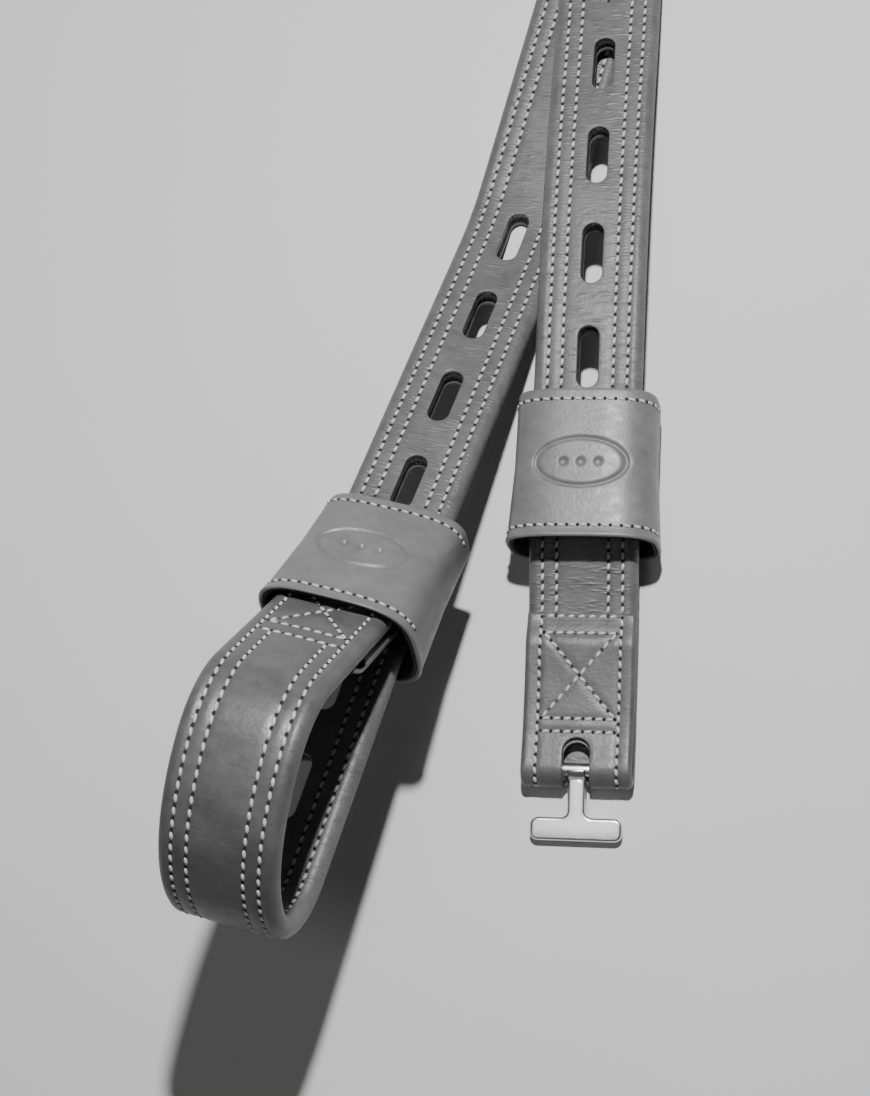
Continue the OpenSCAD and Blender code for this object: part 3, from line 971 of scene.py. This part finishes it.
def hook_boss():
    """A quarter disc that joins the stem to the bar, on the side away from the fold."""
    angles = np.radians(np.linspace(0, 90, 17))
    arc = [(0, 0)] + [(BOSS_R * math.cos(a), BOSS_R * math.sin(a)) for a in angles]
    return capped([[(x * swell, share * (STEM_W - 0.1), z * swell) for x, z in arc]
                   for share, swell in BOSS_RINGS])


def build_hook(side, line, angle):
    verts, faces = [], []
    for part_verts, part_faces in (hook_plate(), hook_bar(), hook_boss()):
        faces += shifted(part_faces, len(verts))
        verts += part_verts
    centre, along, out = fold_frame(line)
    c, s = math.cos(math.radians(angle)), math.sin(math.radians(angle))
    stem = (along[0] * c + out[0] * s, along[1] * c + out[1] * s)
    up = (-along[0] * s + out[0] * c, -along[1] * s + out[1] * c)
    verts = [(centre[0] + x * stem[0] + z * up[0], y, centre[1] + x * stem[1] + z * up[1])
             for x, y, z in verts]
    new_piece(f"{side}_t_hook", placed(verts, side), faces, f"{side}_hook", [STEEL],
              (f"{side}_hook",))


build_hook("right", RIGHT_LINE, RIGHT_HOOK_ANGLE)
build_hook("left", LEFT_LINE, LEFT_HOOK_ANGLE)


# --- Keepers: a lined sleeve lofted through three sections, with a plain oval pressed in ---

TOP_REACH = 12.6       # the finest stretch across the top, each way from the middle
TOP_STEP = 0.35
REST_CELLS = 96
MOTIF_REACH = 8.4      # the finest stretch along the sleeve, each way from the middle
OVAL_POWER = 3.4
CROWN = 0.6
CURL_RUN = 3.5         # the mouth's extra curl: its run, its rise and its growth in width
CURL_UP = 0.55
CURL_OUT = 0.66
MOTIF = (11.5, 6.2)
MOTIF_LINE = 0.4
MOTIF_DEPTH = 0.75
MOTIF_DOTS = (-4.4, 0, 4.4)
DOT_R = 0.95
DOT_EDGE = 0.12
KEEPER_ROW_IN = 3      # each stitch row's distance from the sleeve's end, and its reach round it
KEEPER_ROW_REACH = 24.5


def section_at(sections, x):
    """Bottom, top and width of the sleeve at x, with a small extra curl at the flared mouth."""
    xs = [s[0] for s in sections]
    bottom, top, width = (float(np.interp(x, xs, [s[k] for s in sections])) for k in (1, 2, 3))
    curl = float(smooth((x - KEEPER_L / 2 + CURL_RUN) / CURL_RUN)) ** 2
    return bottom, top + CURL_UP * curl, width + CURL_OUT * curl


def sleeve_outline(sections, x):
    """A squarish oval at x: distance round from the top's middle, points, outward normals."""
    bottom, top, width = section_at(sections, x)
    a = np.linspace(-math.pi, math.pi, 1441)
    s, c = np.sin(a), np.cos(a)
    half, up = width / 2, (top - bottom) / 2
    up = np.where(c > 0, up + CROWN, up)
    y = half * np.sign(s) * np.abs(s) ** (2 / OVAL_POWER)
    z = up * np.sign(c) * np.abs(c) ** (2 / OVAL_POWER)
    ny = np.sign(y) * np.abs(y / half) ** (OVAL_POWER - 1) / half
    nz = np.sign(z) * np.abs(z / up) ** (OVAL_POWER - 1) / up
    size = np.hypot(ny, nz)
    far = np.concatenate([[0], np.cumsum(np.hypot(np.diff(y), np.diff(z)))])
    return far - far[len(far) // 2], y, z + (top + bottom) / 2, ny / size, nz / size


def on_outline(outline, w, lift):
    """Lateral and height at distances w round the outline, lifted off it."""
    far, y, z, ny, nz = outline
    y, z, ny, nz = (np.interp(w, far, v) for v in (y, z, ny, nz))
    size = np.hypot(ny, nz)
    return y + ny / size * lift, z + nz / size * lift


def sleeve_ring(sections, x, inset):
    """Points (lateral, height, distance round from the top's middle) of a section."""
    outline = sleeve_outline(sections, x)
    reach = outline[0][-1]
    fine = np.arange(-TOP_REACH, TOP_REACH + 0.01, TOP_STEP)
    rest = np.linspace(TOP_REACH, 2 * reach - TOP_REACH, REST_CELLS + 1)[1:-1]
    w = np.concatenate([fine, np.where(rest > reach, rest - 2 * reach, rest)])
    y, z = on_outline(outline, w, np.full_like(w, -inset))
    return w, y, z


def motif_depth(x, y):
    """A shallow pressed oval line with three dots in it."""
    a, b = MOTIF
    oval = np.abs(np.hypot(y / a, x / b) - 1) * min(a, b)
    line = np.exp(-(oval / MOTIF_LINE) ** 2)
    for dot in MOTIF_DOTS:
        outside = np.minimum((np.hypot(y - dot, x) - DOT_R) / DOT_EDGE, 50)
        line = np.maximum(line, 1 / (1 + np.exp(outside)))
    return MOTIF_DEPTH * line


def sleeve_frame(side):
    """Placing of a sleeve's own (x along, lateral, z up) in the leather's plane."""
    if side == "right":
        return lambda x, z: (RIGHT_KEEPER_Y - x, z)
    place = LEFT_LINE.pose(LEFT_LINE.length - LEFT_KEEPER_S)
    a = math.radians(place[2])
    return lambda x, z: (place[0] + x * math.cos(a) + z * math.sin(a),
                         place[1] + x * math.sin(a) - z * math.cos(a))


def build_keeper(side, sections):
    frame_of = sleeve_frame(side)
    half = KEEPER_L / 2
    fine = np.arange(-MOTIF_REACH, MOTIF_REACH + 0.01, TOP_STEP)
    beyond = MOTIF_REACH + 0.4
    rows = [*np.linspace(1 - half, -beyond, 9), *fine, *np.linspace(beyond, half - 1, 11)]

    def tube(outset, inset, pressed):
        """Rings along the outside and back along the inside; pressed says if it has the oval."""
        rings = [(x, outset) for x in rows]
        mouth = [(half - 0.55, outset + 0.03), (half - 0.12, outset + 0.25),
                 (half, (outset + inset) / 2), (half - 0.12, inset - 0.2), (half - 0.5, inset)]
        back = [(x, inset) for x in np.linspace(half - 1.5, 1.5 - half, 14)]
        tail = [(-x, d) for x, d in reversed(mouth)]
        rings += mouth + back + tail
        verts, uv = [], []
        for number, (x, d) in enumerate(rings):
            w, y, z = sleeve_ring(sections, x, d)
            if pressed and number < len(rows):
                z = z - motif_depth(x, w)
            for k in range(len(w)):
                px, pz = frame_of(x, z[k])
                verts.append((px, y[k], pz))
                uv.append((x, w[k]))
        return verts, uv, ring_faces(len(rings), len(w), wrap=True)

    for part, outset, inset, slot, material in (
            ("keeper", 0, KEEPER_T, "keeper_leather", KEEPER_LEATHER),
            ("keeper_lining", KEEPER_T, KEEPER_T + LINING_T, "keeper_inside", LINING)):
        verts, uv, faces = tube(outset, inset, part == "keeper")
        piece = new_piece(f"{side}_{part}_sleeve", placed(verts, side), faces, f"{side}_keeper",
                          [material], (f"{side}_{part}",))
        write_uv(piece.data, [p[0] for p in uv], [p[1] for p in uv])

    def on_sleeve(u, w, lift):
        """u is along the sleeve, w the distance round from the top's middle."""
        out = []
        for x, round_at, rise in zip(u, w, lift):
            y, z = on_outline(sleeve_outline(sections, x), round_at, rise)
            px, pz = frame_of(x, z)
            out.append((px, y, pz))
        return np.array(out)

    seams = [(x, -KEEPER_ROW_REACH, x, KEEPER_ROW_REACH)
             for x in (KEEPER_ROW_IN - half, half - KEEPER_ROW_IN)]
    sewn(f"{side}_keeper_stitches", side, f"{side}_keeper", on_sleeve, seams,
         (f"{side}_keeper_stitch",))


build_keeper("right", RIGHT_SECTIONS)
build_keeper("left", LEFT_SECTIONS)


# --- Floor, light and camera: places and sizes in metres ---

FLOOR_HALF = 3.0


def floor_material():
    material, nodes, links, shader = node_material("floor")
    mottle = object_noise(nodes, links, 6, 4)
    links.new(grey_mix(nodes, links, mottle, (0.60, 0.60, 0.60), (0.66, 0.66, 0.66)),
              shader.inputs["Base Color"])
    shader.inputs["Roughness"].default_value = 0.9
    return material


def build_floor():
    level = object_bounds()[0][2]
    corners = ((-1, -1), (1, -1), (1, 1), (-1, 1))
    verts = [(x * FLOOR_HALF, y * FLOOR_HALF, level) for x, y in corners]
    mesh = bpy.data.meshes.new("floor")
    mesh.from_pydata(verts, [], [(0, 1, 2, 3)])
    mesh.materials.append(floor_material())
    floor = bpy.data.objects.new("floor", mesh)
    bpy.context.scene.collection.objects.link(floor)


def area_light(name, at, towards, size, power):
    data = bpy.data.lights.new(name, "AREA")
    data.energy = power
    data.shape = "DISK"
    data.size = size
    light = bpy.data.objects.new(name, data)
    bpy.context.scene.collection.objects.link(light)
    light.location = at
    light.rotation_euler = (Vector(towards) - Vector(at)).to_track_quat("-Z", "Y").to_euler()


def build_lights():
    area_light("key", (0.06, -0.01, 0.62), (-0.01, -0.15, 0), 0.03, 6.6)
    area_light("softbox", (-0.10, -0.37, 0.70), (0, -0.25, 0), 0.2, 0.3)
    area_light("fill", (-0.7, -0.5, 0.9), (-0.02, -0.2, 0), 0.9, 0.12)
    world = bpy.data.worlds.new("studio")
    world.use_nodes = True
    background = world.node_tree.nodes["Background"]
    background.inputs["Color"].default_value = (0.8, 0.8, 0.8, 1)
    background.inputs["Strength"].default_value = 0.07
    bpy.context.scene.world = world


def build_camera():
    data = bpy.data.cameras.new("camera")
    data.sensor_fit = "AUTO"
    data.sensor_width = 36
    data.lens = LENS
    data.clip_start = 0.01
    camera = bpy.data.objects.new("camera", data)
    bpy.context.scene.collection.objects.link(camera)
    camera.location = Vector(CAMERA_AT) * MM
    camera.rotation_euler = [math.radians(a) for a in CAMERA_TURN]
    bpy.context.scene.camera = camera


build_floor()
build_lights()
build_camera()
